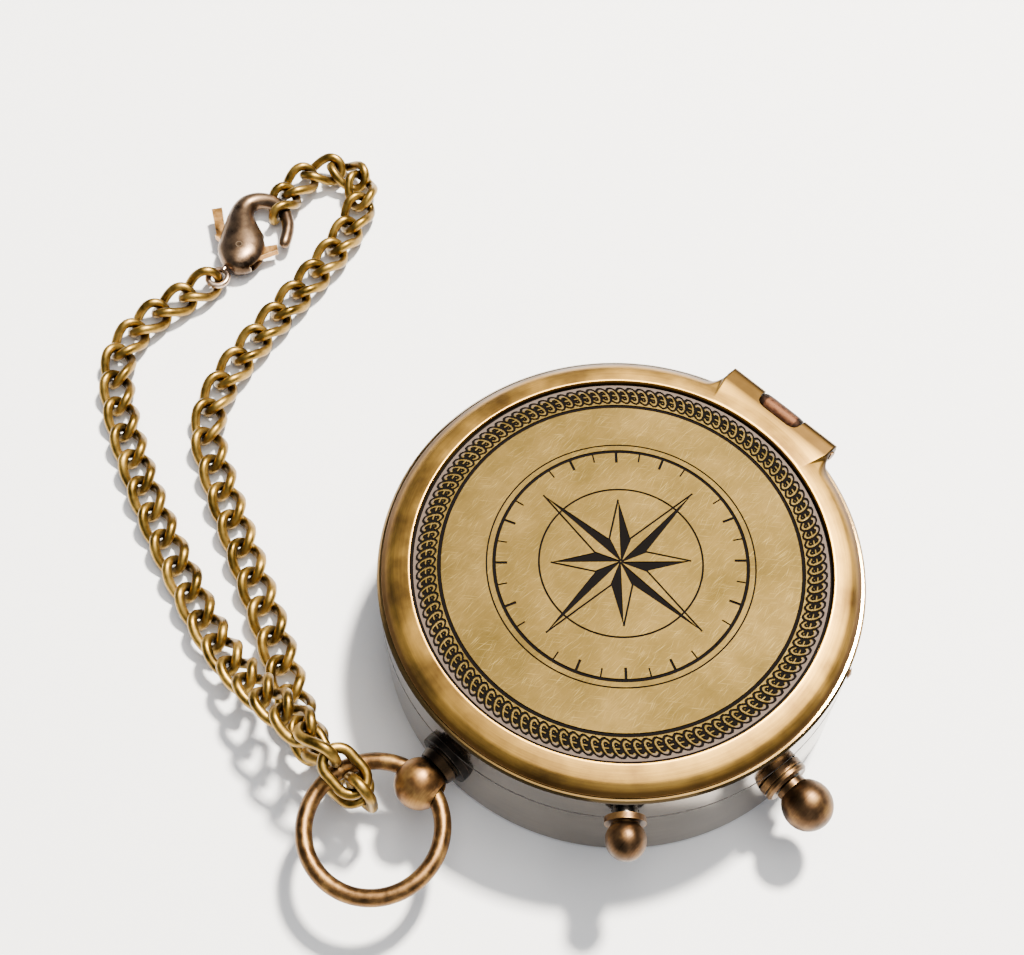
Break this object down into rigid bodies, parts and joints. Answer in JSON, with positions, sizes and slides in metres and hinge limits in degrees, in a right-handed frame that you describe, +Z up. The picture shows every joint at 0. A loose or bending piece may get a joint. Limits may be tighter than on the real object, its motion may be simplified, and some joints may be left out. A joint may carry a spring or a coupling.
{
  "type": "pocket compass",
  "caption": "Round pocket compass with a hinged engraved lid, a catch button, a needle lock knob, a pendant ring and a curb chain ending in a lobster clasp.",
  "frame": {"origin": "centre of the case bottom, on the surface that it rests on", "axes": "+Z up along the case axis, +Y towards the lid hinge, -Y towards the pendant"},
  "size_m": [0.1274, 0.0832, 0.0198],
  "materials": {
    "polished_case": "mirror-polished nickel over brass, slightly warm",
    "lid_brass": "satin antique brass, darker in the recesses",
    "plate_brass": "brushed antique brass with an engraved, blackened border",
    "inner_brass": "plain turned brass",
    "blued_steel": "blued steel",
    "dial_silver": "silvered dial with black markings",
    "crystal_glass": "clear flat glass",
    "fitting_bronze": "copper-brown antique bronze, turned and burnished",
    "chain_brass": "golden antique brass, dark in the recesses",
    "clasp_bronze": "grey-brown antique bronze",
    "gate_copper": "bare tan copper",
    "eye_bronze": "pale pinkish bronze"
  },
  "bodies": {
    "case": {"case_cup": "polished_case", "upper_ring": "polished_case", "rim_stud": "lid_brass", "pivot_post": "inner_brass", "pivot_pin": "blued_steel", "dial_spacer": "inner_brass", "dial": "dial_silver", "dial_screws": "blued_steel", "dial_surround": "inner_brass", "crystal": "crystal_glass", "crystal_ring": "inner_brass", "lock_bush": "fitting_bronze", "catch_spring": "blued_steel", "pendant_nut": "fitting_bronze", "pendant_stem": "fitting_bronze", "hinge_pin": "lid_brass"},
    "lid": {"lid_shell": "lid_brass", "lid_plate": "plate_brass", "lid_tongue": "inner_brass"},
    "ring": {"bow_ring": "fitting_bronze", "chain_hitch": "chain_brass"},
    "chain": {"chain_ring_end": "chain_brass", "chain_clasp_end": "chain_brass", "chain_long_end": "chain_brass", "clasp_eye": "eye_bronze"},
    "clasp": {"clasp_body": "clasp_bronze", "clasp_rivet": "clasp_bronze"},
    "gate": {"clasp_gate": "gate_copper"},
    "catch": {"catch_button": "fitting_bronze"},
    "lock": {"lock_knob": "fitting_bronze", "lock_shaft": "inner_brass"},
    "lifter": {"needle_lifter": "inner_brass"},
    "needle": {"needle": "blued_steel", "needle_hub": "inner_brass"}
  },
  "joints": [
    {"name": "lid_hinge", "type": "hinge", "parent": "case", "child": "lid", "pos_m": [0, 0.03025, 0.0179], "axis": [-1, 0, 0], "range_deg": [0, 110]},
    {"name": "ring_swing", "type": "hinge", "parent": "case", "child": "ring", "pos_m": [0, -0.0342, 0.0094], "axis": [-1, 0, 0], "range_deg": [0, 90]},
    {"name": "chain_level", "type": "hinge", "parent": "ring", "child": "chain", "pos_m": [-0.009, -0.0405, 0.0094], "axis": [-1, 0, 0], "range_deg": [-90, 0], "deforming": ["chain_ring_end"]},
    {"name": "clasp_swivel", "type": "hinge", "parent": "chain", "child": "clasp", "pos_m": [-0.07945, -0.00087, 0.0024], "axis": [-0.2756, 0.9613, 0], "range_deg": [-8, 8]},
    {"name": "gate_turn", "type": "hinge", "parent": "clasp", "child": "gate", "pos_m": [-0.08049, 0.00456, 0.0024], "axis": [0, 0, 1], "range_deg": [0, 25], "stiffness_Nm_per_rad": 0.002, "springref_deg": -17.19},
    {"name": "catch_press", "type": "slide", "parent": "case", "child": "catch", "axis": [-0.6947, 0.7193, 0], "range_m": [0, 0.0007], "stiffness_N_per_m": 1500, "springref_m": -0.0008, "deforming": ["catch_spring"]},
    {"name": "lock_turn", "type": "hinge", "parent": "case", "child": "lock", "pos_m": [0.03474, -0.00426, 0.0094], "axis": [0.9925, -0.1219, 0], "range_deg": [0, 90]},
    {"name": "lifter_rise", "type": "slide", "parent": "case", "child": "lifter", "axis": [0, 0, 1], "range_m": [0, 0.0005]},
    {"name": "needle_spin", "type": "hinge", "parent": "lifter", "child": "needle", "pos_m": [0, 0, 0.013], "axis": [0, 0, 1], "continuous": true}
  ],
  "couplings": [
    {"joint": "chain_level", "follows": "ring_swing", "ratio": -1},
    {"joint": "lock_turn", "follows": "lifter_rise", "rad_per_m": 3141.6}
  ]
}
